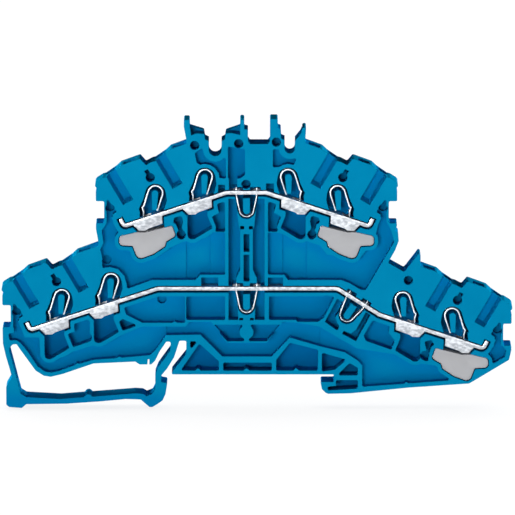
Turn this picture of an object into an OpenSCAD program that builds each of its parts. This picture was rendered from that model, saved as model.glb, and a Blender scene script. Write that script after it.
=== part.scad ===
// Rail-mounted feed-through terminal block, two decks, four spring clamps to a deck.
// X runs along the block, Y through its thickness from the open side to the closed side, Z is up.
// Z = 0 is the top of the mounting rail, X = 0 its middle and Y = 0 the middle of the thickness.
// All lengths are in millimetres, all angles in degrees.

/* [Housing] */

// Thickness of the block, which is also its pitch on the rail
block_width = 5.2; // [5.2:0.1:6]
// Wall left behind the pockets that hold the metal parts
back_wall = 1.5; // [1.5:0.1:1.7]
// Depth of the broad moulded panels on the open side
panel_depth = 1.9; // [1.4:0.1:2]
// How much deeper the fields in the panels are
field_step = 0.25; // [0.1:0.05:0.4]
// Depth of the cells and channels on the open side
cell_depth = 3.0; // [2.6:0.1:3.2]
// Width of the ribs left around the pockets
rib = 0.75; // [0.5:0.05:0.9]
// Radius on the corners of the outline and of the moulded recesses
corner_radius = 0.3; // [0.1:0.05:0.35]
// Diameter of the round locating holes in the open side
locating_hole = 1.9; // [1.6:0.1:2.1]

/* [Mounting rail] */

// Width of the top-hat rail over its two flanges
rail_width = 35; // [34.8:0.1:35.2]
// Height of the two slots that take the rail flanges
flange_slot = 1.6; // [1.2:0.1:1.8]
// How far the fixed hook reaches under its flange
fixed_hook = 2.3; // [1.5:0.1:2.8]
// How far the spring hook reaches under its flange
spring_hook = 1.2; // [0.8:0.1:1.6]

/* [Decks] */

// Height of the flat middle part of the upper current bar above the rail
upper_deck = 38.4; // [37:0.1:40]
// Height of the flat middle part of the lower current bar above the rail
lower_deck = 18.3; // [17.8:0.1:18.8]
// Slope of the current bars under the clamps
deck_slope = 18.4; // [18:0.1:18.8]
// Distance between neighbouring clamps, along the sloping bar
clamp_pitch = 10.7; // [10.6:0.05:10.8]

/* [Clamp stations] */

// Distance of the upper inner clamps from the middle of the block
upper_clamp_x = 8.5; // [8.4:0.05:8.6]
// Height of the upper inner clamps above their deck
upper_clamp_rise = 4.55; // [4.4:0.05:4.7]
// Distance of the lower left inner clamp from the middle
lower_left_clamp_x = 27.8; // [27.6:0.05:28]
// Height of the lower left inner clamp above its deck
lower_left_clamp_rise = 2.85; // [2.7:0.05:3]
// Distance of the lower right inner clamp from the middle
lower_right_clamp_x = 32.1; // [31.9:0.05:32.3]
// How far the lower right inner clamp lies below its deck
lower_right_clamp_drop = 1.05; // [0.9:0.05:1.2]

/* [Conductor entries] */

// Diameter of the conductor channels
wire_bore = 2.8; // [2.4:0.1:2.9]
// Lean of the conductor channels and operating slots from the vertical
entry_lean = 30; // [29:0.5:31]
// Depth of the recess moulded in front of each conductor channel
entry_recess = 1.6; // [0.8:0.1:1.7]
// Width of that recess
entry_width = 2.4; // [2:0.1:2.6]
// Size of the operating slots along the block
operating_slot = 2.5; // [2.2:0.1:2.8]
// Size of the operating slots across the block
slot_depth = 2.6; // [2:0.1:2.8]

/* [Current bars] */

// Thickness of the current bars
bar_thickness = 0.75; // [0.7:0.05:0.9]
// Width of the current bars across the block
bar_width = 3.2; // [3:0.1:3.4]
// Slope of the steep part of the lower bar, under the third bridging contact
steep_slope = 32.5; // [31.5:0.5:33.5]
// Gap moulded around the current bars
bar_gap = 0.35; // [0.25:0.05:0.4]

/* [Springs] */

// Thickness of the clamp springs
spring_thickness = 0.3; // [0.25:0.05:0.4]
// Thickness of the bridging contact springs
contact_thickness = 0.22; // [0.2:0.02:0.3]
// Width of the spring strips
spring_width = 2.9; // [2.6:0.1:3]
// Mid-strip radius of the clamp spring loop
loop_radius = 1.5; // [1.45:0.05:1.55]
// Gap moulded around the spring loops
spring_gap = 0.45; // [0.35:0.05:0.5]

/* [Inserts] */

// Gap moulded around the grey inserts
insert_gap = 0.15; // [0.1:0.05:0.2]
// How far the inserts stay below the open side
insert_setback = 0.3; // [0.1:0.1:0.6]

/* [Hidden] */

$fn = 48;
corner_facets = 16;
front = -block_width / 2;
back = block_width / 2;
over = 1;
metal_depth = block_width - back_wall;
metal_floor = back - back_wall;
bar_front = metal_floor - bar_width;
spring_front = metal_floor - spring_width;
bar_middle = metal_floor - bar_width / 2;
window_margin = 0.45;
window_width = bar_width - 2 * window_margin;
tongue_play = 0.2;
tongue_width = window_width - 2 * tongue_play;

upper_clamp_z = upper_deck + upper_clamp_rise;
lower_left_clamp_z = lower_deck + lower_left_clamp_rise;
lower_right_clamp_z = lower_deck - lower_right_clamp_drop;
pitch_x = clamp_pitch * cos(deck_slope);
pitch_z = clamp_pitch * sin(deck_slope);

// A station is [x, z, side]: the top of a clamp spring loop, with side +1 on the left and -1 on the right.
// A bank is the inner and the outer station of one half of a deck.
function bank(x, z, side) = [[-side * x, z, side], [-side * (x + pitch_x), z - pitch_z, side]];
upper_left = bank(upper_clamp_x, upper_clamp_z, 1);
upper_right = bank(upper_clamp_x, upper_clamp_z, -1);
lower_left = bank(lower_left_clamp_x, lower_left_clamp_z, 1);
lower_right = bank(lower_right_clamp_x, lower_right_clamp_z, -1);
banks = [upper_left, upper_right, lower_left, lower_right];
stations = [for (b = banks) for (s = b) s];
insert_stations = [upper_left[1], upper_right[1], lower_right[1]];
conductor_stations = [upper_left[0], upper_right[0], lower_left[0], lower_left[1], lower_right[0]];

function unit(v) = v / norm(v);
function turned(v) = [-v[1], v[0]];
function reversed(list) = [for (i = [len(list) - 1 : -1 : 0]) list[i]];
function arc(centre, r, from, to, n) =
    [for (i = [0 : n]) let (a = from + (to - from) * i / n) centre + r * [cos(a), sin(a)]];

// Points given from a deck or from the top of the upper clamps, at their height above the rail.
function raised(list, z) = [for (p = list) [p[0], p[1] + z]];
function on_upper(list) = raised(list, upper_deck);
function on_lower(list) = raised(list, lower_deck);
function on_crown(list) = raised(list, upper_clamp_z);
function mirrored(list) = reversed([for (p = list) [-p[0], p[1]]]);

// Points of one station's frame, moved to where the station is; a face keeps its turning sense when mirrored.
function placed(s, list) = [for (p = list) [s[0] + s[2] * p[0], s[1] + p[1]]];
function face(s, list) = s[2] > 0 ? placed(s, list) : reversed(placed(s, list));

// Outline of a strip of thickness t that follows a path, with mitred bends.
function side_of(path, i) =
    let (a = i > 0 ? turned(unit(path[i] - path[i - 1])) : turned(unit(path[1] - path[0])),
         b = i < len(path) - 1 ? turned(unit(path[i + 1] - path[i])) : a,
         m = unit(a + b))
    m / (m * a);
function strip(path, t) = concat(
    [for (i = [0 : len(path) - 1]) path[i] + side_of(path, i) * t / 2],
    [for (i = [len(path) - 1 : -1 : 0]) path[i] - side_of(path, i) * t / 2]);

// Path or outline through points that are each rounded with the radius of the same number.
corner_steps = 5;
half_turn = 180;
function wrapped(a) = a > half_turn ? a - 2 * half_turn : a < -half_turn ? a + 2 * half_turn : a;
function corner(a, b, c, r) =
    let (u = unit(a - b),
         v = unit(c - b),
         half = acos(u * v) / 2,
         centre = b + unit(u + v) * r / sin(half),
         s = b + u * r / tan(half) - centre,
         e = b + v * r / tan(half) - centre,
         from = atan2(s[1], s[0]),
         sweep = wrapped(atan2(e[1], e[0]) - from))
    arc(centre, r, from, from + sweep, corner_steps);
function rounded(list, radii) =
    let (n = len(list))
    [for (i = [0 : n - 1])
        each radii[i] > 0 ? corner(list[(i + n - 1) % n], list[i], list[(i + 1) % n], radii[i]) : [list[i]]];

// Rounds the corners that stand out of an outline, and the corners that go into it.
module eased(r)
    offset(r = r, $fn = corner_facets)
        offset(delta = -r)
            children();

module filled(r)
    offset(r = -r, $fn = corner_facets)
        offset(delta = r)
            children();

// A prism of an X-Z outline between two planes of Y, and a pocket sunk into the open side.
module slab(from, to)
    translate([0, to, 0])
        rotate([90, 0, 0])
            linear_extrude(to - from)
                children();

module sunk(depth)
    slab(front - over, front + depth)
        children();

module window(box)
    translate([box[0], box[1]])
        square([box[2] - box[0], box[3] - box[1]]);

module at_station(s)
    translate([s[0], s[1]])
        scale([s[2], 1])
            children();

module at_contact(c)
    translate([c[0], c[1]])
        rotate(c[2])
            children();

// Outline of the housing. The edge of a bank is drawn in the frame of its stations.
side_edge = [[-12.2, -7.8], [-10.5, -7.8], [-10.5, -3.2], [-12.2, -3.2], [-12.2, -1.1], [-11.8, -0.6],
             [-12.35, -0.1], [-12.3, 0.5], [-12, 0.85], [-10.75, 1.65]];
entry_top = [[-10.15, 1.8], [-8, 3.3], [-7, 4.25], [-3.6, 5.5]];
lip_notch = [[-3.1, 5.65], [-1.95, 4.3]];
next_top = [[-10.75, 1.65]];
function bank_edge(b) = concat(
    placed(b[1], concat(side_edge, entry_top, lip_notch)),
    placed(b[0], concat(next_top, entry_top)));

upper_left_foot = [[-11.65, -12.5], [-11.85, -10.9], [-12.2, -9]];
upper_right_foot = [[-10.35, -16.1], [-11.85, -13.4], [-12.55, -11.5], [-12.45, -10], [-11.85, -9.4],
                    [-12.15, -8.4]];
fin = [[-3.6, 7.75], [-3.3, 8.35], [-2.5, 7.25], [-0.6, 4.75], [-0.2, 4.35]];
lower_right_foot = [[-3.55, -15.8], [-4.25, -15.4], [-11.75, -10.8], [-12.2, -8.7]];

// The crown on the upper deck: marker posts, and two round gaps for bridges.
crown = [[-12.2, 5.65], [-12.8, 8.95], [-12.8, 10.35], [-11.6, 10.35], [-11.6, 8.55], [-8.7, 7.65],
         [-8.5, 6.35], [-7.7, 5.95], [-5.1, 5.95], [-4.4, 6.35], [-4.2, 7.55], [-1.3, 8.55], [-1.3, 10.45],
         [-0.45, 10.45], [-0.45, 8.35], [0.3, 8.35], [0.3, 5.95], [0.7, 5.35], [4.4, 5.35], [4.8, 5.95],
         [4.8, 10.55], [6.4, 10.55], [6.4, 8.55], [7, 8.45], [7.1, 6.45], [7.8, 6.15], [9.9, 5.95],
         [11, 7.35], [11.4, 8.15], [11.4, 8.65], [12.2, 8.85], [12, 5.75]];
crown_gaps = [[-6.4, 4.15, 1.3], [8.85, 4.45, 1.05]];
gap_height = 3;
gap_wall = 1.2;
wing_gaps = [
    [[-11.6, 9], [-11.3, 7.15], [-10.2, 7.55], [-8.7, 7.45], [-8.4, 9]],
    [[-4.4, 9], [-4.2, 7.55], [-3, 7.65], [-1.3, 7.25], [-1.3, 9]]
];
wing_setback = 3.2;

// The rail side: a fixed hook on the right, and on the left a spring arm that carries the other hook.
flange_play = 0.5;
spring_play = 0.1;
nose_drop = 0.2;
hook_nose = [[1.6, -4.1], [1.1, -3.9], [0.3, -3.1]];
hook_x = rail_width / 2 - fixed_hook;
slot_end = rail_width / 2 + flange_play;
nose_x = spring_hook - rail_width / 2;
notch_x = -rail_width / 2 - spring_play;
underside = concat([[33.3, -2.8], [21.4, -4]], [for (p = hook_nose) [hook_x, 0] + p],
    [[hook_x, -flange_slot], [slot_end, -flange_slot], [slot_end, 0]]);
spring_arm = [[-15.7, 0], [-14.7, 1.3], [-12.4, 4.2], [-12.4, 7.1], [-13.8, 7.1], [-14.5, 4.8], [-14.9, 3.6],
              [-16.3, 1.3], [notch_x, -0.3], [notch_x, -flange_slot], [nose_x, -flange_slot - nose_drop],
              [-16.7, -4.2], [-17.3, -5.5], [-18.4, -6.3], [-19.4, -6.9], [-20, -6.9], [-21.8, -5.3],
              [-24.9, -5.2], [-30, -5.7], [-37.2, -6.2], [-45.4, -6.3], [-46.3, -7.1], [-48.9, -6.9],
              [-49.5, -6.4], [-49.5, -2.7], [-48.3, -0.6], [-48.7, 1], [-49.5, 3.8], [-50.1, 6.5]];
foot_gap = [[-48.9, 5.4], [-48.1, 6.3], [-47.3, 6.4], [-46.5, 5.2], [-43.4, 0.8], [-41.7, -0.3],
            [-40.3, -0.5], [-37.8, 0.1], [-31.5, 2.3], [-22.9, 2.7], [-22, 2.1], [-19.6, 2.1], [-18.8, 2.9],
            [-17.9, 4.8], [-16.5, 6.9], [-15.6, 6.9], [-15.7, 5], [-18.2, 1.5], [-18.8, 0], [-18.8, -2.9],
            [-19.4, -4.1], [-20.6, -4.6], [-21.4, -4.1], [-22.9, -4], [-31.7, -4.7],
            [-33.3, -4.8], [-38.3, -5.2], [-45.4, -4.8], [-46.5, -4.1]];
belly_slit = [-20.4, 2, -20, 3.2];
arm_nub = [-32.6, -5];
arm_nub_radius = 0.8;

outline_points = concat(
    bank_edge(lower_left),
    placed(upper_left[1], upper_left_foot),
    bank_edge(upper_left),
    on_crown(crown),
    reversed(bank_edge(upper_right)),
    placed(upper_right[1], reversed(upper_right_foot)),
    placed(lower_right[0], reversed(fin)),
    reversed(bank_edge(lower_right)),
    placed(lower_right[1], reversed(lower_right_foot)),
    underside,
    spring_arm);

module outline()
    difference() {
        filled(corner_radius)
            eased(corner_radius)
                difference() {
                    polygon(outline_points);
                    difference() {
                        polygon(foot_gap);
                        translate(arm_nub)
                            circle(arm_nub_radius);
                    }
                }
        window(belly_slit);
        for (g = crown_gaps)
            translate([g[0], upper_clamp_z + g[1]]) {
                circle(g[2]);
                translate([-g[2], 0])
                    square([2 * g[2], gap_height]);
            }
    }

// Current bars: a bent strip with a pressed collar under each clamp, in the frame of its station.
bar_drop = 6;
hook_radius = 0.75;
bend_radius = 2;
hook_tip = [-7.2, -7];
hook_bend_x = -6.5;
function arm_mid(x) = [x, -bar_drop - bar_thickness / 2 / cos(deck_slope) + x * tan(deck_slope)];
bar_end = [hook_tip, arm_mid(hook_bend_x)];
collar = [[-4.2, -7.7], [0, -6.4], [1.35, -6.1], [1.45, -8], [-1.4, -9], [-2, -9.45], [-3.4, -9.5],
          [-4.5, -8.4]];

// The arms meet the flat middle where their mid-lines cross; the lower bar has a steep part on its right.
function bend_x(s, z) = (z - bar_thickness / 2 - s[1] - arm_mid(0)[1]) / tan(deck_slope);
function flat_end(s, z) = [s[0] + s[2] * bend_x(s, z), z - bar_thickness / 2];
steep_start = 18.7;
steep_top = [steep_start, lower_deck - bar_thickness / 2];
arm_start = lower_right[0][1] + arm_mid(0)[1] + (lower_right[0][0] - steep_start) * tan(deck_slope);
steep_run = (arm_start - steep_top[1]) / (tan(deck_slope) - tan(steep_slope));
steep_end = steep_top + steep_run * [1, -tan(steep_slope)];
upper_path = rounded(
    concat(placed(upper_left[1], bar_end),
           [flat_end(upper_left[0], upper_deck), flat_end(upper_right[0], upper_deck)],
           placed(upper_right[1], reversed(bar_end))),
    [0, hook_radius, bend_radius, bend_radius, hook_radius, 0]);
lower_path = rounded(
    concat(placed(lower_left[1], bar_end),
           [flat_end(lower_left[0], lower_deck), steep_top, steep_end],
           placed(lower_right[1], reversed(bar_end))),
    [0, hook_radius, bend_radius, bend_radius, bend_radius, hook_radius, 0]);

module bar_outline(path, two_banks) {
    polygon(strip(path, bar_thickness));
    for (b = two_banks)
        for (s = b)
            polygon(face(s, collar));
}

module upper_bar_outline()
    bar_outline(upper_path, [upper_left, upper_right]);

module lower_bar_outline()
    bar_outline(lower_path, [lower_left, lower_right]);

// Openings of the bars: one under each clamp for the conductor, and two at each bridging contact.
clamp_window = [-3.9, -5, -1, 1];
leg_x = 2.1;
leg_window = 1.4;

module clamp_windows(two_banks)
    for (b = two_banks)
        for (s = b)
            at_station(s)
                translate([0, -bar_drop])
                    rotate(deck_slope)
                        window(clamp_window);

module contact_windows(list)
    for (c = list)
        at_contact(c)
            for (side = [-1, 1])
                translate([side * leg_x - leg_window / 2, -bar_thickness - over])
                    square([leg_window, bar_thickness + 2 * over]);

module bar_windows()
    slab(bar_middle - window_width / 2, bar_middle + window_width / 2)
        children();

// Clamp springs: a loop, a straight inner leg, and an outer leg with a kink and a tongue.
loop_steps = 18;
loop_centre = [0, -loop_radius - spring_thickness / 2];
inner_leg_lean = 18;
inner_leg_length = 3.45;
outer_leg_lean = 17;
outer_leg_length = 3.3;
loop_start = -inner_leg_lean;
loop_end = half_turn - outer_leg_lean;
inner_leg = arc(loop_centre, loop_radius, loop_start, loop_end, 1)[0]
    - inner_leg_length * [sin(inner_leg_lean), cos(inner_leg_lean)];
outer_leg = arc(loop_centre, loop_radius, loop_start, loop_end, 1)[1]
    - outer_leg_length * [sin(outer_leg_lean), cos(outer_leg_lean)];
kink = [[-2.75, -4.7], [-2.45, -5.6]];
tongue_tip = [-2.5, -7.1];
clamp_path = concat([inner_leg], arc(loop_centre, loop_radius, loop_start, loop_end, loop_steps),
    [outer_leg], kink, [tongue_tip]);
tongue_cut = [-4, -8.75, -1, -5.75];

// Bridging contacts as [x, z, turn] of the bar surface above them, and their U-shaped springs.
tilted_x = 22.6;
tilted_mid = steep_top + (tilted_x - steep_start) * [1, -tan(steep_slope)];
contacts = [
    [0, upper_deck, 0],
    [0, lower_deck, 0],
    [each tilted_mid + bar_thickness / 2 * [sin(steep_slope), cos(steep_slope)], -steep_slope]
];
contact_radius = 1.45;
contact_steps = 14;
contact_lean = 11;
contact_start = half_turn + contact_lean;
contact_end = 2 * half_turn - contact_lean;
contact_bottom = [0, -4];
leg_tip = 0.6;
leg_knee = -1;
contact_path = concat([[-leg_x, leg_tip], [-leg_x, leg_knee]],
    arc(contact_bottom, contact_radius, contact_start, contact_end, contact_steps),
    [[leg_x, leg_knee], [leg_x, leg_tip]]);
tongue_shoulder = 0.3;
contact_cut = [-leg_x - over, -bar_thickness - tongue_shoulder, leg_x + over, leg_tip + over];

module beside_tongue() {
    slab(front, bar_middle - tongue_width / 2)
        children();
    slab(bar_middle + tongue_width / 2, back)
        children();
}

module clamp_spring(s)
    color("silver")
        difference() {
            slab(spring_front, metal_floor)
                at_station(s)
                    polygon(strip(clamp_path, spring_thickness));
            beside_tongue()
                at_station(s)
                    window(tongue_cut);
        }

module contact_spring(c)
    color("silver")
        difference() {
            slab(spring_front, metal_floor)
                at_contact(c)
                    polygon(strip(contact_path, contact_thickness));
            beside_tongue()
                at_contact(c)
                    window(contact_cut);
        }

// Grey inserts, under the outer clamps.
insert_points = [[-7.4, -10.6], [-3.75, -9.75], [-2.1, -9.8], [3.4, -8.4], [4.15, -10.5], [2.2, -11.7],
                 [1.95, -12.7], [-0.4, -14.3], [-3.6, -15.5], [-4.35, -13.6], [-4.7, -12.65], [-7.5, -12.5]];
insert_radii = [0.7, 0.4, 0.5, 0.4, 0.6, 0.3, 0.4, 1, 1.1, 0.5, 0.4, 0.8];

module insert_profile()
    polygon(rounded(insert_points, insert_radii));

// Pockets of the metal parts and the inserts, in the frames of their stations and contacts.
loop_pocket = loop_radius + spring_thickness / 2 + spring_gap;
spring_pocket = [[-2.1, -1.4], [-2.45, -2.7], [-3.4, -4.8], [-3.2, -5.6], [-3.3, -6.6], [-1, -6.2],
                 [1.6, -5.6], [2.35, -3], [2.15, -1.4]];
spring_post = [[-0.75, -1.7], [0.6, -1.7], [0.25, -5], [-0.65, -5]];
post_end = [-0.08, -1.6];
post_radius = 0.67;
conductor_points = [[-3.6, -8.6], [-3.6, -14.6], [-2.2, -14.5], [0.1, -13.1], [1.55, -12.2], [0.5, -9.6],
                    [0.5, -7.6]];
conductor_radii = [0, 0.9, 0.6, 0.8, 0.3, 0.4, 0];
contact_gap = 0.2;
contact_loop_pocket = contact_radius + contact_thickness / 2 + contact_gap;
contact_pocket = [[-2.55, -bar_thickness / 2], [-1.8, -4.3], [1.8, -4.3], [2.55, -bar_thickness / 2]];
leg_pocket = [-2.9, -bar_thickness / 2, -0.7, 0.95];
bridge_post = 0.7;
bridge_post_height = 2.6;
collar_room = [[-2.2, -9.3], [1.8, -7.8], [1.8, -9], [-2.2, -10]];

module clamp_pocket()
    difference() {
        union() {
            translate(loop_centre)
                circle(loop_pocket);
            polygon(spring_pocket);
        }
        polygon(spring_post);
        translate(post_end)
            circle(post_radius);
    }

module bridge_pocket()
    difference() {
        union() {
            translate(contact_bottom)
                circle(contact_loop_pocket);
            polygon(contact_pocket);
            for (side = [0, 1])
                mirror([side, 0])
                    window(leg_pocket);
        }
        translate(contact_bottom) {
            circle(bridge_post);
            translate([-bridge_post, 0])
                square([2 * bridge_post, bridge_post_height]);
        }
    }

module metal_pockets() {
    offset(delta = bar_gap)
        upper_bar_outline();
    offset(delta = bar_gap)
        lower_bar_outline();
    for (s = stations)
        at_station(s)
            clamp_pocket();
    for (c = contacts)
        at_contact(c)
            bridge_pocket();
    for (s = conductor_stations)
        polygon(placed(s, rounded(conductor_points, conductor_radii)));
    for (s = insert_stations)
        at_station(s) {
            offset(delta = insert_gap)
                insert_profile();
            polygon(collar_room);
        }
}

// Relief of the open side: broad panels, with nubs on their rims and deeper fields in their middle.
side_recess = [[-7.9, -5.4], [-9.3, -3.4], [-10.6, -0.8], [-11, -1], [-10, -3.3], [-10, -8.1], [-8.6, -8.1],
               [-8.8, -6]];
left_panel = concat(
    on_upper([[-29.6, -13.9], [-30, -12.1], [-29.3, -10.7], [-29.7, -8.2], [-28.6, -6.5], [-27.4, -6.5],
              [-26.2, -8.6], [-23.1, -12.2], [-16.7, -12.2], [-13, -10.5], [-8.5, -9.7], [-6.7, -8.5],
              [-4.4, -8.5]]),
    on_lower([[-4.4, 2.7], [-9.5, 2.7], [-10.5, 1.6], [-19.4, 1.6], [-24.5, -0.3], [-24.6, 0.8], [-25.1, 2.5],
              [-26.4, 3.9], [-28, 4.3], [-29.6, 4.1]]));
right_panel = concat(
    on_upper([[4.4, -8.6], [6.5, -8.6], [8.9, -9.5], [11.6, -10.1], [15.1, -11.3], [16.5, -13.2],
              [23.3, -13.9], [26.2, -10.1], [27.2, -6.1], [28.6, -6.1], [29.6, -8], [30.3, -10.5]]),
    on_lower([[24.5, -0.5], [23.5, -0.5], [21.2, 0.9], [19.4, 1.6], [8.5, 1.6], [7.7, 2.7], [4.4, 2.7]]));
lower_panel = concat(
    on_lower([[-47.8, -8], [-46.5, -8], [-45.6, -10.5], [-42.6, -10.5], [-42.4, -14.5], [-41.1, -15.8],
              [-37.4, -14.5], [-35.8, -13.5], [-31.7, -12.2], [-29, -12], [-25.9, -10.1], [-21.4, -8.2],
              [-12.6, -8.2], [-11.6, -7.2], [-7.3, -7.2]]),
    [[-4, 6.7], [4.2, 6.7]],
    on_lower([[7.5, -7.2], [10.4, -7.4], [14.9, -8.2], [22.7, -12.8], [30.7, -14.1], [33.7, -15.8],
              [38.9, -16.4], [49.9, -16.4], [49.7, -13.5], [51, -12.2], [52.6, -12.2], [53.4, -13.3],
              [53.1, -14.6], [46, -19.1]]),
    [[45.2, -1], [33.3, -1.9], [23.8, -2.6], [23.8, 1.9], [22.9, 2.9], [20.2, 4.7], [14.9, 6], [8.9, 7.8],
     [5.2, 3.8], [-5, 3.8], [-9.5, 8.4], [-16.5, 8.3], [-18.6, 5.3], [-19.8, 4.1], [-26.2, 3.5], [-31.5, 3.1],
     [-35.2, 2], [-38.7, 0.7], [-40.3, 0.4], [-41.5, 0.6], [-43, 1.7], [-45, 4.8], [-46.5, 6.7],
     [-47.3, 7.2], [-48.7, 7.2], [-49, 8.6], [-47.8, 8.8]]);
middle_panel = on_lower([[-25.1, -4.5], [-24.9, -3.7], [-19.4, -1.7], [-12.6, -1.7], [-12.6, -7.4],
                         [-21.4, -7.4], [-24.7, -5.7]]);
crown_left_recess = on_crown([[-10.6, 3.45], [-8.9, 4.65], [-4.2, 4.65], [-4.2, -1.85], [-5.4, -1.75],
                              [-10.2, 1.45]]);
crown_right_recess = on_crown([[5.4, 4.25], [7.9, 4.25], [10.4, 2.75], [9.7, 1], [5.4, 0.45]]);
field_x = [7.4, 12.4];
field = concat(on_upper([[field_x[0], 0], [field_x[1], 0]]), on_lower([[field_x[1], 0], [field_x[0], 0]]));
valley_field = concat(on_lower([[-16.5, -7], [15.1, -7]]), [[15.1, 0], [-16.5, 0]]);
panel_nubs = concat([[-34.8, 1.9], [-26.2, 3.3], [32.9, -2.1]], on_lower([[-14.7, -7.6]]));
nub_radius = 0.45;

// Cells, which are deeper, between ribs.
crown_cell = on_crown([[-3.8, 4.85], [-0.3, 4.25], [-0.3, -1.05], [-1.3, -1.85], [-3.8, -1.85]]);
side_cell = on_upper([[4.4, -2.3], [6.4, -1.8], [5.6, -4.4], [7.1, -5.3], [6.3, -8.4], [4.4, -8.4]]);
clasp_cell = on_upper([[13.2, -5.3], [14.6, -4.8], [15.1, -6.6], [14.8, -10], [12.9, -10], [12.6, -8.9],
                       [13.3, -7.6], [13, -6.3]]);
lower_left_cell = on_lower([[-35.8, -7.6], [-32.1, -6.1], [-32.3, -11.4], [-35.8, -12.6], [-36.3, -11.6],
                            [-37, -10.1], [-35.8, -8.9]]);
lower_right_cell = on_lower([[36.6, -11.4], [38, -11], [38.7, -12.2], [38.3, -15.6], [36.4, -15.4],
                             [36.2, -14.3], [37, -13.1]]);
left_bay = on_lower([[-12.4, -1.5], [-4.4, -1.5], [-4.4, -6.8], [-12.4, -6.8]]);
right_bay = on_lower([[4.6, -1.3], [18.2, -1.7], [15.9, -6.3], [14.7, -7.2], [10.4, -7.2], [10.2, -6.8],
                      [4.6, -6.8]]);
corner_cell = on_lower([[26.6, -6.6], [29.4, -8], [29.2, -9.5], [30.5, -11.2], [29.8, -13.1], [24.5, -11.2],
                        [24.1, -10.1], [25.7, -7.2]]);
wedge_cell = on_lower([[-26.2, -7.2], [-25.5, -9.1], [-22.3, -8], [-25.5, -6.6]]);
base_cells = [
    [[-9.7, 6.5], [-5.7, 2.8], [-5.7, 0.8], [-13.6, 0.8]],
    [[-11.6, 7], [-10, 7], [-11.6, 5.1]],
    [[-4.8, 2.5], [5.2, 2.5], [5.2, 0.8], [-4.8, 0.8]],
    [[6.1, 3.1], [8.9, 6.7], [14.7, 5.2], [14.7, 0.8], [6.1, 0.8]],
    [[15.5, 4.6], [20.6, 3.1], [18.2, 1], [15.5, 0.6]],
    [[18.6, -0.2], [21.2, 2.4], [22.9, 1.4], [22.9, -0.2]],
    [[18.4, -1.2], [22.9, -1.2], [22.9, -3], [16.7, -3.4], [16.7, -2.6], [18.4, -2.4]]
];
base_nubs = [[-10, 0.8], [0, 0.8], [10.2, 0.8]];
boss_cell = [[-7.1, 10.5], [-4, 7], [4.2, 7], [7.3, 10.5]];
boss = [0, 8.9];
boss_radius = 1.45;
boss_moat = 0.45;
boss_stub = [-0.5, -3, 0.5, 3];

// Channels and windows beside the middle post and round the third bridging contact, open towards the metal.
post_channel = concat(on_upper([[2.2, -1.5], [3.7, -1.5]]),
    on_lower([[3.7, 0.4], [2.1, 0.4], [2.1, 2], [1.3, 3.7]]), on_upper([[1.3, -8], [1.6, -7.2]]));
foot_channel = on_lower([[1.9, -1.1], [3.7, -1.1], [3.7, -6.8], [1.7, -6.8]]);
post_slot = concat(on_upper([[-0.6, -13.2], [0.6, -13.2]]), on_lower([[0.6, 1.3], [-0.6, 1.3]]));
upper_windows = [[-3.6, 0, -1.9, 2.7], [-5.8, -0.2, -4.4, 1.4], [4, -0.2, 5.6, 1.7], [-1.3, -7.9, -0.5, -7.2],
                 [0.5, -7.9, 1.3, -7.2], [-0.6, -12.6, 0.6, -8.9]];
lower_windows = [[-9.3, -0.1, -5.8, 2.1], [4.4, -0.1, 7.5, 2.1], [-1.5, -6.9, -0.7, -6.4],
                 [0.7, -6.9, 1.5, -6.4]];
bracket_cells = [
    on_lower([[18.6, -2.4], [20.2, -3.2], [19.2, -5.1], [18.2, -6.3], [19, -8.2], [18.8, -8.9], [18.4, -8.9],
              [16.1, -7.2]]),
    on_lower([[25.5, -5.7], [22.5, -11.3], [19.6, -9.7], [20, -9.1], [21.4, -9.7], [22.5, -8.9],
              [24.5, -5.2]])
];

// Round holes; those beside the outer clamps have a slot, like a keyhole.
locating_holes = concat(
    on_crown([[-10.6, 5.05], [-1.6, 5.45], [6.1, 5.75], [-0.1, -3.05]]),
    on_upper([[-13.4, -9], [13.4, -9]]),
    on_lower([[33.2, 1.5], [-28.7, 5.5], [-32.7, -10.5], [36.6, -14.3], [-17.4, -2.8], [16.4, -2.6]]));
side_hole = [-9.3, -4.7];
keyhole = [-1.05, 1.75];
keyhole_tail = [-1.9, 3.3];
keyhole_slot = 0.9;

module nubs(list)
    for (p = list)
        translate(p)
            circle(nub_radius);

module panels()
    difference() {
        union() {
            for (p = [left_panel, right_panel, lower_panel, middle_panel, crown_left_recess,
                      crown_right_recess])
                polygon(p);
            for (b = banks)
                polygon(placed(b[1], side_recess));
        }
        for (g = crown_gaps)
            translate([g[0], upper_clamp_z + g[1]])
                circle(g[2] + gap_wall);
        nubs(panel_nubs);
    }

module fields()
    intersection() {
        panels();
        union() {
            polygon(field);
            polygon(mirrored(field));
            polygon(valley_field);
        }
    }

module cells() {
    for (c = [crown_cell, side_cell, mirrored(side_cell), clasp_cell, mirrored(clasp_cell), lower_left_cell,
              lower_right_cell, left_bay, right_bay, corner_cell, wedge_cell])
        polygon(c);
    difference() {
        union() {
            polygon(boss_cell);
            translate(boss)
                circle(boss_radius + boss_moat);
        }
        translate(boss) {
            circle(boss_radius);
            window(boss_stub);
        }
    }
}

module rail_cells()
    difference() {
        for (c = base_cells)
            polygon(c);
        nubs(base_nubs);
    }

module open_cells() {
    for (c = [post_channel, mirrored(post_channel), foot_channel, mirrored(foot_channel), post_slot])
        polygon(c);
    translate([0, upper_deck])
        for (w = upper_windows)
            window(w);
    translate([0, lower_deck])
        for (w = lower_windows)
            window(w);
    for (c = bracket_cells)
        polygon(c);
}

// What is left of a relief once the metal pockets have a rib around them, with rounded corners.
module inside_ribs()
    eased(corner_radius)
        difference() {
            children();
            offset(delta = rib)
                metal_pockets();
        }

module holes() {
    for (p = locating_holes)
        translate(p)
            circle(d = locating_hole);
    for (b = banks)
        at_station(b[1]) {
            for (p = [side_hole, keyhole])
                translate(p)
                    circle(d = locating_hole);
            polygon(strip([keyhole, keyhole_tail], keyhole_slot));
        }
}

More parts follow.
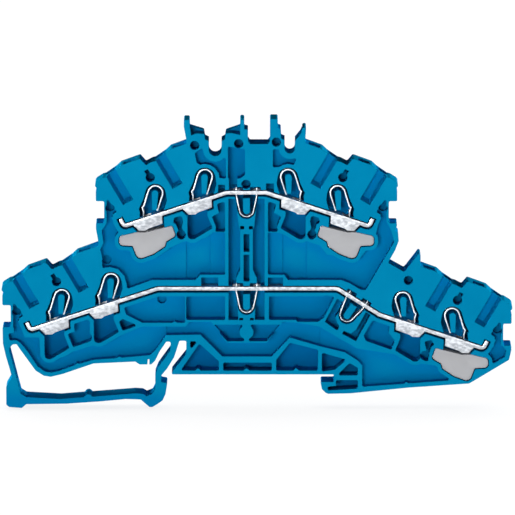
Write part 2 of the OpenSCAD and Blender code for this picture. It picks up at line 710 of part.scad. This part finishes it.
// Conductor channels and operating slots, which lean towards the clamps. A square throat leads on to the bar.
mouth = [-8.9, 2.3];
bore_wall = 0.45;
bore_middle = back - bore_wall - wire_bore / 2;
entry_length = 6.6;
side_slope = 0.6;
end_slope = 0.7;
channel_length = 10;
channel_run_out = 3;
throat_width = 1.9;
throat_length = 1;
slot_wall = 0.5;
slot_mouth = [-5.5, 5.05];
slot_length = 7.2;
slot_tip = 1.6;
slot_run_out = 2;

module at_mouths(y)
    for (s = stations)
        translate([s[0], y, s[1]])
            scale([s[2], 1, 1])
                translate([mouth[0], 0, mouth[1]])
                    rotate([0, -entry_lean, 0])
                        children();

module entry_ramp(run, length)
    linear_extrude(length)
        polygon([[0, 0], [run, entry_recess], [run, entry_recess + over], [-over, entry_recess + over],
                 [-over, 0]]);

module entry_recesses()
    at_mouths(front)
        difference() {
            translate([-entry_width / 2, -over, -entry_length])
                cube([entry_width, entry_recess + over, entry_length + over]);
            translate([-entry_width / 2, 0, -entry_length - over])
                entry_ramp(side_slope, entry_length + over + channel_run_out);
            translate([entry_width / 2 + over, 0, -entry_length])
                rotate([0, -90, 0])
                    entry_ramp(end_slope, entry_width + 2 * over);
        }

module wire_channels()
    at_mouths(bore_middle)
        translate([0, 0, -channel_length]) {
            cylinder(d = wire_bore, h = channel_length + channel_run_out);
            translate([-throat_width / 2, -throat_width / 2, -throat_length])
                cube([throat_width, throat_width, throat_length + over]);
        }

module slot_profile()
    polygon([[-operating_slot / 2, slot_run_out], [operating_slot / 2, slot_run_out], [operating_slot / 2, 0],
             [slot_tip / 2, -slot_length], [-slot_tip / 2, -slot_length], [-operating_slot / 2, 0]]);

module operating_slots()
    slab(front + slot_wall, front + slot_wall + slot_depth)
        for (s = stations)
            at_station(s)
                translate(slot_mouth)
                    rotate(entry_lean)
                        slot_profile();

module housing()
    color("royalblue")
        difference() {
            slab(front, back)
                outline();
            sunk(panel_depth)
                inside_ribs()
                    panels();
            sunk(panel_depth + field_step)
                inside_ribs()
                    fields();
            sunk(cell_depth)
                inside_ribs()
                    cells();
            sunk(cell_depth) {
                open_cells();
                holes();
            }
            sunk(metal_depth)
                inside_ribs()
                    rail_cells();
            sunk(metal_depth)
                metal_pockets();
            entry_recesses();
            sunk(wing_setback)
                for (w = wing_gaps)
                    polygon(on_crown(w));
            wire_channels();
            operating_slots();
        }

module current_bar(two_banks, own_contacts)
    color("lightgray")
        difference() {
            slab(bar_front, metal_floor)
                children();
            bar_windows() {
                clamp_windows(two_banks);
                contact_windows(own_contacts);
            }
        }

module upper_current_bar()
    current_bar([upper_left, upper_right], [contacts[0]])
        upper_bar_outline();

module lower_current_bar()
    current_bar([lower_left, lower_right], [contacts[1], contacts[2]])
        lower_bar_outline();

module upper_left_inner_spring()
    clamp_spring(upper_left[0]);

module upper_left_outer_spring()
    clamp_spring(upper_left[1]);

module upper_right_inner_spring()
    clamp_spring(upper_right[0]);

module upper_right_outer_spring()
    clamp_spring(upper_right[1]);

module lower_left_inner_spring()
    clamp_spring(lower_left[0]);

module lower_left_outer_spring()
    clamp_spring(lower_left[1]);

module lower_right_inner_spring()
    clamp_spring(lower_right[0]);

module lower_right_outer_spring()
    clamp_spring(lower_right[1]);

module upper_contact_spring()
    contact_spring(contacts[0]);

module lower_contact_spring()
    contact_spring(contacts[1]);

module tilted_contact_spring()
    contact_spring(contacts[2]);

module insert(s)
    color("darkgray")
        slab(front + insert_setback, metal_floor)
            at_station(s)
                insert_profile();

module upper_left_insert()
    insert(upper_left[1]);

module upper_right_insert()
    insert(upper_right[1]);

module lower_right_insert()
    insert(lower_right[1]);

housing();
upper_current_bar();
lower_current_bar();
upper_left_inner_spring();
upper_left_outer_spring();
upper_right_inner_spring();
upper_right_outer_spring();
lower_left_inner_spring();
lower_left_outer_spring();
lower_right_inner_spring();
lower_right_outer_spring();
upper_contact_spring();
lower_contact_spring();
tilted_contact_spring();
upper_left_insert();
upper_right_insert();
lower_right_insert();
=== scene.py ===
# %% [markdown]
# A two-deck feed-through terminal block, looked at from its open side. The real one is a slim
# blue moulding that holds two bent current bars, eight looped clamp springs, three contact
# springs and three grey inserts. The construction solids are loaded as a fixed frame: +X runs
# along the block, +Y goes away from the open side, +Z is up, and the origin lies midway between
# the hooks of the foot. Everything below dresses those solids, and their box is kept first.

# %% Load the frame
import bpy
import math
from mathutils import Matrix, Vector


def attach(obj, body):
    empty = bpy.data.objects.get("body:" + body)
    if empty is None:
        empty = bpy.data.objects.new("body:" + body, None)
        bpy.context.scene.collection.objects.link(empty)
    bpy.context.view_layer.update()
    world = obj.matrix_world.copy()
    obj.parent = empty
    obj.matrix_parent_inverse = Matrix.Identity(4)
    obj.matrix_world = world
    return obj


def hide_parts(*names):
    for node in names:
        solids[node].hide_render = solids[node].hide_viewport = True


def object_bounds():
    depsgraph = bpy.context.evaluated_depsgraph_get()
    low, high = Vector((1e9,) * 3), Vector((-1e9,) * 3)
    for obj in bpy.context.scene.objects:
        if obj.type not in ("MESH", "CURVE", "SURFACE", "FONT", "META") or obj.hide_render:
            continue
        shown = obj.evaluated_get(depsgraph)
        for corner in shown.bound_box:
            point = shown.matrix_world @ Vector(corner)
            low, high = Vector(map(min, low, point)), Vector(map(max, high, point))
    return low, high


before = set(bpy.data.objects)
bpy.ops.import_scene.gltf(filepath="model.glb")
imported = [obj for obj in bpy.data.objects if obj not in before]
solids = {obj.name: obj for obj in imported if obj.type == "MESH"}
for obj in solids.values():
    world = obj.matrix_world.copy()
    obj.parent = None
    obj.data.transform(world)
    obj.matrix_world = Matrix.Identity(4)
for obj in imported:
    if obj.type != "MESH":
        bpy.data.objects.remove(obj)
cad_low, cad_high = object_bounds()
MM = 0.001
print("solids:", len(solids), "box mm:", [round(v / MM, 1) for v in cad_high - cad_low])

# %% [markdown]
# The picture looks square at the open side from a little above, through a long lens, so the
# verticals stay parallel. The aim point lies on the open face, and the lens length follows
# from how many millimetres of that face fill the square frame. Trying lens lengths by eye
# would work too, but then the size in the picture would be a guess.

# %% Camera
PHOTO_WIDTH = 105.6 * MM
AIM = Vector((2.25, -2.6, 24.6)) * MM
ELEVATION = math.radians(12)
DISTANCE = 1.4
SENSOR = 36

camera_data = bpy.data.cameras.new("camera")
camera_data.sensor_width = SENSOR
camera_data.lens = SENSOR * DISTANCE / PHOTO_WIDTH
camera = bpy.data.objects.new("camera", camera_data)
bpy.context.collection.objects.link(camera)
sight = Vector((0, math.cos(ELEVATION), -math.sin(ELEVATION)))
camera.location = AIM - sight * DISTANCE
camera.rotation_euler = sight.to_track_quat("-Z", "Y").to_euler()
bpy.context.scene.camera = camera
print("lens mm:", round(camera_data.lens))

# %% [markdown]
# The block stands on white paper. Paper that lamps alone make white needs strong light, and
# that would wash out the block, so most of the paper's brightness is a glow of its own. The
# rest is ordinary lit paper, and that part carries the block's soft shadow. The three helpers
# start a node tree, add a node with its settings, and wire sockets in pairs.

# %% Floor
def fresh_tree(owner):
    owner.use_nodes = True
    owner.node_tree.nodes.clear()
    return owner.node_tree


def add_node(tree, kind, **settings):
    made = tree.nodes.new(kind)
    for setting, value in settings.items():
        setattr(made, setting, value)
    return made


def wire(tree, *pairs):
    for source, goal in pairs:
        tree.links.new(source, goal)


FLOOR_LEVEL = cad_low.z - 0.4 * MM
FLOOR_SIZE = 6
FLOOR_GLOW = 0.85
PAPER = (0.8, 0.8, 0.8, 1)

bpy.ops.object.select_all(action="DESELECT")
bpy.ops.mesh.primitive_plane_add(size=FLOOR_SIZE, location=(0, 0, FLOOR_LEVEL))
floor = bpy.context.object
floor.name = "floor"

paper = bpy.data.materials.new("white_paper")
tree = fresh_tree(paper)
lit = add_node(tree, "ShaderNodeBsdfDiffuse")
lit.inputs["Color"].default_value = PAPER
glow = add_node(tree, "ShaderNodeEmission")
share = add_node(tree, "ShaderNodeMixShader")
share.inputs[0].default_value = FLOOR_GLOW
out = add_node(tree, "ShaderNodeOutputMaterial")
wire(
    tree,
    (lit.outputs[0], share.inputs[1]),
    (glow.outputs[0], share.inputs[2]),
    (share.outputs[0], out.inputs["Surface"]),
)
floor.data.materials.append(paper)
print("floor at mm:", round(FLOOR_LEVEL / MM, 2))

# %% [markdown]
# The room around the block is white for the eye and for the metal's reflections, but it adds
# only a weak fill to everything else. Light Path tells the rays apart: camera, glossy and
# transmission rays get full white, and the rest get the fill. A plain white world would be
# simpler, but it would light every pocket and flatten the relief.

# %% World
FILL = 0.07
WHITE = 1

world = bpy.data.worlds.new("studio")
bpy.context.scene.world = world
tree = fresh_tree(world)
path = add_node(tree, "ShaderNodeLightPath")
direct = add_node(tree, "ShaderNodeMath", operation="MAXIMUM")
seen = add_node(tree, "ShaderNodeMath", operation="MAXIMUM")
level = add_node(tree, "ShaderNodeMapRange")
level.inputs["To Min"].default_value = FILL
level.inputs["To Max"].default_value = WHITE
room = add_node(tree, "ShaderNodeBackground")
out = add_node(tree, "ShaderNodeOutputWorld")
wire(
    tree,
    (path.outputs["Is Camera Ray"], direct.inputs[0]),
    (path.outputs["Is Glossy Ray"], direct.inputs[1]),
    (direct.outputs[0], seen.inputs[0]),
    (path.outputs["Is Transmission Ray"], seen.inputs[1]),
    (seen.outputs[0], level.inputs["Value"]),
    (level.outputs[0], room.inputs["Strength"]),
    (room.outputs[0], out.inputs["Surface"]),
)
print("fill:", FILL)

# %% [markdown]
# Four soft boxes stand around the block and shine level, so the flat tops face none of them
# and stay dark navy. The front one stands a little higher than the block and has a grid,
# which is what a small spread angle means, so its light fades gently towards the foot. The
# two at the ends stand just behind the open face: they light the sloping tops and leave the
# face alone. The back one lights the closed side to the same plain level as the front.

# %% Lamps around the block
OPEN_SPREAD, GRID_SPREAD = 180, 28
FRONT_LEVEL, DECK_LEVEL = 0.10, 0.06
WIDE_BOX, END_BOX = (0.7, 0.12), (0.2, 0.4)


def soft_box(name, place, target, size, power, spread=OPEN_SPREAD):
    data = bpy.data.lights.new(name, "AREA")
    data.shape = "RECTANGLE"
    data.size, data.size_y = size
    data.energy = power
    data.spread = math.radians(spread)
    lamp = bpy.data.objects.new(name, data)
    bpy.context.collection.objects.link(lamp)
    lamp.location = place
    beam = Vector(target) - Vector(place)
    lamp.rotation_euler = beam.to_track_quat("-Z", "Y").to_euler()
    print(name, "power W:", power)
    return lamp


def block_at(height):
    return (AIM.x, AIM.y, height)


soft_box("front_box", (-0.3, -1.1, FRONT_LEVEL), block_at(FRONT_LEVEL), WIDE_BOX,
         power=0.35, spread=GRID_SPREAD)
soft_box("back_box", (0.3, 1.1, DECK_LEVEL), block_at(DECK_LEVEL), WIDE_BOX, power=4)
soft_box("left_box", (-1.2, 0.11, DECK_LEVEL), block_at(DECK_LEVEL), END_BOX, power=26)
soft_box("right_box", (1.2, 0.11, DECK_LEVEL), block_at(DECK_LEVEL), END_BOX, power=25)

# %% [markdown]
# A fifth lamp hangs over the paper. Light linking gives it a collection of receivers with the
# floor alone in it, so it whitens the paper and draws the block's shadow there, and adds no
# light to the block itself.

# %% Lamp for the paper
PAPER_BOX = (2, 2)
paper_lamp = soft_box("paper_lamp", (0, 0.15, 1.2), (0, 0, 0), PAPER_BOX, power=34)
paper_only = bpy.data.collections.new("paper_only")
paper_only.objects.link(floor)
paper_lamp.light_linking.receiver_collection = paper_only

# %% [markdown]
# Moulded plastic and tinned metal both show a slow cloud of tone and a fine grain. One node
# group makes the two from Object coordinates, so a pattern sits still on its piece. Each
# material sets its own scales, how far the pattern is drawn out along the block, and how much
# of the noise the cloud spans: a small half span gives hard mottling, a large one a faint
# drift.

# %% Surface group
SETTINGS = ("Cloud Scale", "Grain Scale", "Stretch", "Half Span")
CLOUD_DETAIL, GRAIN_DETAIL = 3, 2
MIDDLE = 0.5

surface = bpy.data.node_groups.new("surface_variation", "ShaderNodeTree")
for socket in SETTINGS:
    surface.interface.new_socket(socket, in_out="INPUT", socket_type="NodeSocketFloat")
for socket in ("Cloud", "Grain"):
    surface.interface.new_socket(socket, in_out="OUTPUT", socket_type="NodeSocketFloat")

inside = add_node(surface, "NodeGroupInput")
outside = add_node(surface, "NodeGroupOutput")
where = add_node(surface, "ShaderNodeTexCoord")
squeeze = add_node(surface, "ShaderNodeCombineXYZ")
squeeze.inputs["Y"].default_value = 1
squeeze.inputs["Z"].default_value = 1
along = add_node(surface, "ShaderNodeVectorMath", operation="MULTIPLY")
cloud = add_node(surface, "ShaderNodeTexNoise")
cloud.inputs["Detail"].default_value = CLOUD_DETAIL
grain = add_node(surface, "ShaderNodeTexNoise")
grain.inputs["Detail"].default_value = GRAIN_DETAIL
low = add_node(surface, "ShaderNodeMath", operation="SUBTRACT")
low.inputs[0].default_value = MIDDLE
high = add_node(surface, "ShaderNodeMath", operation="ADD")
high.inputs[0].default_value = MIDDLE
spread = add_node(surface, "ShaderNodeMapRange")
wire(
    surface,
    (inside.outputs["Stretch"], squeeze.inputs["X"]),
    (where.outputs["Object"], along.inputs[0]),
    (squeeze.outputs[0], along.inputs[1]),
    (along.outputs[0], cloud.inputs["Vector"]),
    (along.outputs[0], grain.inputs["Vector"]),
    (inside.outputs["Cloud Scale"], cloud.inputs["Scale"]),
    (inside.outputs["Grain Scale"], grain.inputs["Scale"]),
    (inside.outputs["Half Span"], low.inputs[1]),
    (inside.outputs["Half Span"], high.inputs[1]),
    (low.outputs[0], spread.inputs["From Min"]),
    (high.outputs[0], spread.inputs["From Max"]),
    (cloud.outputs["Fac"], spread.inputs["Value"]),
    (spread.outputs[0], outside.inputs["Cloud"]),
    (grain.outputs["Fac"], outside.inputs["Grain"]),
)
print("surface group nodes:", len(surface.nodes))

# %% [markdown]
# Each finish is one Principled shader. The cloud moves the base colour between two close tones
# and the roughness between two values, and the grain gives the bump. What stays the same all
# over a surface, such as metallic and specular level, is set on the shader itself.

# %% Finish helper
DULL, GLOSSY = 0, 0.5
PLASTIC, METAL = 0, 1
finishes = {}


def make_finish(slot, name, tones, rough, settings, bump, metallic, specular):
    made = bpy.data.materials.new(name)
    tree = fresh_tree(made)
    vary = add_node(tree, "ShaderNodeGroup", node_tree=surface)
    for socket, value in zip(SETTINGS, settings):
        vary.inputs[socket].default_value = value
    tone = add_node(tree, "ShaderNodeMix", name="tone", data_type="RGBA")
    tone.inputs["A"].default_value = (*tones[0], 1)
    tone.inputs["B"].default_value = (*tones[1], 1)
    sheen = add_node(tree, "ShaderNodeMapRange")
    sheen.inputs["To Min"].default_value = rough[0]
    sheen.inputs["To Max"].default_value = rough[1]
    relief = add_node(tree, "ShaderNodeBump", name="relief")
    relief.inputs["Strength"].default_value = bump[0]
    relief.inputs["Distance"].default_value = bump[1]
    skin = add_node(tree, "ShaderNodeBsdfPrincipled", name="skin")
    skin.inputs["Metallic"].default_value = metallic
    skin.inputs["Specular IOR Level"].default_value = specular
    out = add_node(tree, "ShaderNodeOutputMaterial")
    wire(
        tree,
        (vary.outputs["Cloud"], tone.inputs["Factor"]),
        (vary.outputs["Cloud"], sheen.inputs["Value"]),
        (vary.outputs["Grain"], relief.inputs["Height"]),
        (tone.outputs["Result"], skin.inputs["Base Color"]),
        (sheen.outputs[0], skin.inputs["Roughness"]),
        (relief.outputs[0], skin.inputs["Normal"]),
        (skin.outputs[0], out.inputs["Surface"]),
    )
    finishes[slot] = made
    print("finish:", name)


# %% [markdown]
# The housing and the inserts are moulded polyamide with a dull, finely grained skin. A gloss
# layer would mirror the white room and lay a grey veil over the blue, so the specular level is
# zero, and the skin's detail comes from tone and grain.

# %% Moulded plastics
MOULD_GRAIN = 0.02 * MM
make_finish(
    "housing", "blue_polyamide",
    tones=((0, 0.235, 0.46), (0.001, 0.273, 0.51)), rough=(0.42, 0.55),
    settings=(140, 5200, 1, 0.3), bump=(0.25, MOULD_GRAIN),
    metallic=PLASTIC, specular=DULL)
make_finish(
    "insert", "grey_polyamide",
    tones=((0.485, 0.49, 0.51), (0.535, 0.54, 0.56)), rough=(0.5, 0.62),
    settings=(180, 5200, 1, 0.2), bump=(0.2, MOULD_GRAIN),
    metallic=PLASTIC, specular=DULL)

# %% [markdown]
# The bars are copper alloy under a coat of tin, which dries in fine mottled flakes and is drawn
# out along the rolled strip. The springs are bright spring steel with a finer, weaker mottle.
# Their colours lie far apart enough for the flakes to show, because a metal with one tone
# mirrors the white room as a blank.

# %% Strip metals
TIN_GRAIN, STEEL_GRAIN = 0.02 * MM, 0.01 * MM
make_finish(
    "current_bar", "tinned_copper",
    tones=((0.42, 0.45, 0.49), (0.7, 0.73, 0.77)), rough=(0.28, 0.5),
    settings=(2200, 5200, 0.6, 0.14), bump=(0.3, TIN_GRAIN),
    metallic=METAL, specular=GLOSSY)
make_finish(
    "spring", "spring_steel",
    tones=((0.62, 0.68, 0.72), (0.84, 0.89, 0.93)), rough=(0.42, 0.54),
    settings=(2000, 5200, 1, 0.14), bump=(0.15, STEEL_GRAIN),
    metallic=METAL, specular=GLOSSY)

# %% [markdown]
# Light that enters a pocket of the blue moulding bounces from blue wall to blue wall, so a
# floor between walls looks deeper and purer in colour than the face, and the deepest floors
# most of all. Narrow holes are nearly black. That shade is painted into the base colour here.
# An Ambient Occlusion node finds how much the walls close a point in, and the Object coordinate
# across the block tells how deep it lies. Together they mix painted shade blues for pockets,
# the deepest floors and narrow holes into the blue. A painted mask could do the same, but this
# one follows the shape if the pockets change.

# %% Painted shade in the pockets of the blue moulding
WALL_REACH = 5 * MM
CLOSED_IN, OPEN_FACE = 0.8, 0.98
HOLE, WIDE = 0.04, 0.16
DEEP_FROM, DEEP_TO = 0.55 * MM, 1.05 * MM
# painted shade colours for pocket floors, the deepest floors and narrow holes
POCKET_SHADE_BLUE, DEEPEST_SHADE_BLUE = (0, 0.203, 0.468, 1), (0, 0.15, 0.39, 1)
HOLE_SHADE_BLUE = (0, 0.08, 0.2, 1)


def ramp(tree, start, end):
    made = add_node(tree, "ShaderNodeMapRange")
    made.inputs["From Min"].default_value = start
    made.inputs["From Max"].default_value = end
    return made


blue = finishes["housing"].node_tree
tone, skin, relief = (blue.nodes[name] for name in ("tone", "skin", "relief"))
where = add_node(blue, "ShaderNodeTexCoord")
across = add_node(blue, "ShaderNodeSeparateXYZ")
depth = ramp(blue, DEEP_FROM, DEEP_TO)
pocket = add_node(blue, "ShaderNodeMix", data_type="RGBA")
pocket.inputs["A"].default_value = POCKET_SHADE_BLUE
pocket.inputs["B"].default_value = DEEPEST_SHADE_BLUE
near = add_node(blue, "ShaderNodeAmbientOcclusion")
near.inputs["Distance"].default_value = WALL_REACH
pocket_shade_mask = ramp(blue, CLOSED_IN, OPEN_FACE)
width = ramp(blue, HOLE, WIDE)
hole_shade = add_node(blue, "ShaderNodeMix", data_type="RGBA")
hole_shade.inputs["A"].default_value = HOLE_SHADE_BLUE
painted_shade = add_node(blue, "ShaderNodeMix", data_type="RGBA")
# the painted shade takes the place of the base tone where walls close a point in
wire(
    blue,
    (where.outputs["Object"], across.inputs[0]),
    (across.outputs["Y"], depth.inputs["Value"]),
    (depth.outputs[0], pocket.inputs["Factor"]),
    (near.outputs["AO"], pocket_shade_mask.inputs["Value"]),
    (pocket_shade_mask.outputs[0], painted_shade.inputs["Factor"]),
    (near.outputs["AO"], width.inputs["Value"]),
    (width.outputs[0], hole_shade.inputs["Factor"]),
    (pocket.outputs["Result"], hole_shade.inputs["B"]),
    (hole_shade.outputs["Result"], painted_shade.inputs["A"]),
    (tone.outputs["Result"], painted_shade.inputs["B"]),
    (painted_shade.outputs["Result"], skin.inputs["Base Color"]),
)
print("pocket tint reaches mm:", round(WALL_REACH / MM, 1))

# %% [markdown]
# No mould gives a sharp edge. The housing has thousands of short edges, more than a Bevel
# modifier can round without faces running into each other, so its solid is kept as it is and a
# Bevel node rounds the normals at the edges. It feeds the Bump node, so the grain runs over
# it. The finished material then goes on the solid's own material slots.

# %% Moulded edges
MOULD_RADIUS = 0.09 * MM
EDGE_SAMPLES = 6

rounded = add_node(blue, "ShaderNodeBevel", samples=EDGE_SAMPLES)
rounded.inputs["Radius"].default_value = MOULD_RADIUS
wire(blue, (rounded.outputs[0], relief.inputs["Normal"]))
for held in solids["housing"].material_slots:
    held.material = finishes["housing"]
print("housing wears:", [held.material.name for held in solids["housing"].material_slots])

# %% [markdown]
# The bars and springs are pressed from strip and the inserts are moulded, and all of them have
# small edge radii that catch the light. Each solid's mesh is copied, its loose triangles are
# merged and joined into whole faces, and a narrow bevel rounds the edges for real, because
# these edges are seen as bright lines. The copy then stands for the solid.

# %% Softened copies
MERGE = 0.0005 * MM
FLAT = math.radians(0.05)
SHARP = math.radians(35)
SMOOTH = math.radians(30)
EDGE_STEPS = 2
EDGE_RADIUS = {"insert": 0.1 * MM, "current_bar": 0.05 * MM, "spring": 0.07 * MM}


def softened(name, slot):
    bpy.ops.object.select_all(action="DESELECT")
    piece = bpy.data.objects.new(name + "_soft", solids[name].data.copy())
    bpy.context.collection.objects.link(piece)
    piece.select_set(True)
    bpy.context.view_layer.objects.active = piece
    bpy.ops.object.mode_set(mode="EDIT")
    bpy.ops.mesh.select_all(action="SELECT")
    bpy.ops.mesh.remove_doubles(threshold=MERGE)
    bpy.ops.mesh.dissolve_limited(angle_limit=FLAT)
    bpy.ops.object.mode_set(mode="OBJECT")
    bevel = piece.modifiers.new("edge_radius", "BEVEL")
    bevel.width = EDGE_RADIUS[slot]
    bevel.segments = EDGE_STEPS
    bevel.limit_method = "ANGLE"
    bevel.angle_limit = SHARP
    bevel.miter_outer = "MITER_SHARP"
    bpy.ops.object.modifier_apply(modifier=bevel.name)
    bpy.ops.object.shade_smooth_by_angle(angle=SMOOTH)
    piece.data.materials.clear()
    piece.data.materials.append(finishes[slot])
    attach(piece, "root")
    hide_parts(name)
    print(piece.name, "faces:", len(piece.data.polygons))


# %% [markdown]
# A solid's name ends in what it is, so the ending picks its edge radius and its finish. The
# housing matches none of them and keeps its own solid.

# %% Bars, springs and inserts
for name in sorted(solids):
    for slot in EDGE_RADIUS:
        if name.endswith(slot):
            softened(name, slot)

# %% [markdown]
# Last comes the colour setting. The Standard view shows colours as they are written, with no
# film curve over them.

# %% Close
bpy.context.scene.view_settings.view_transform = "Standard"
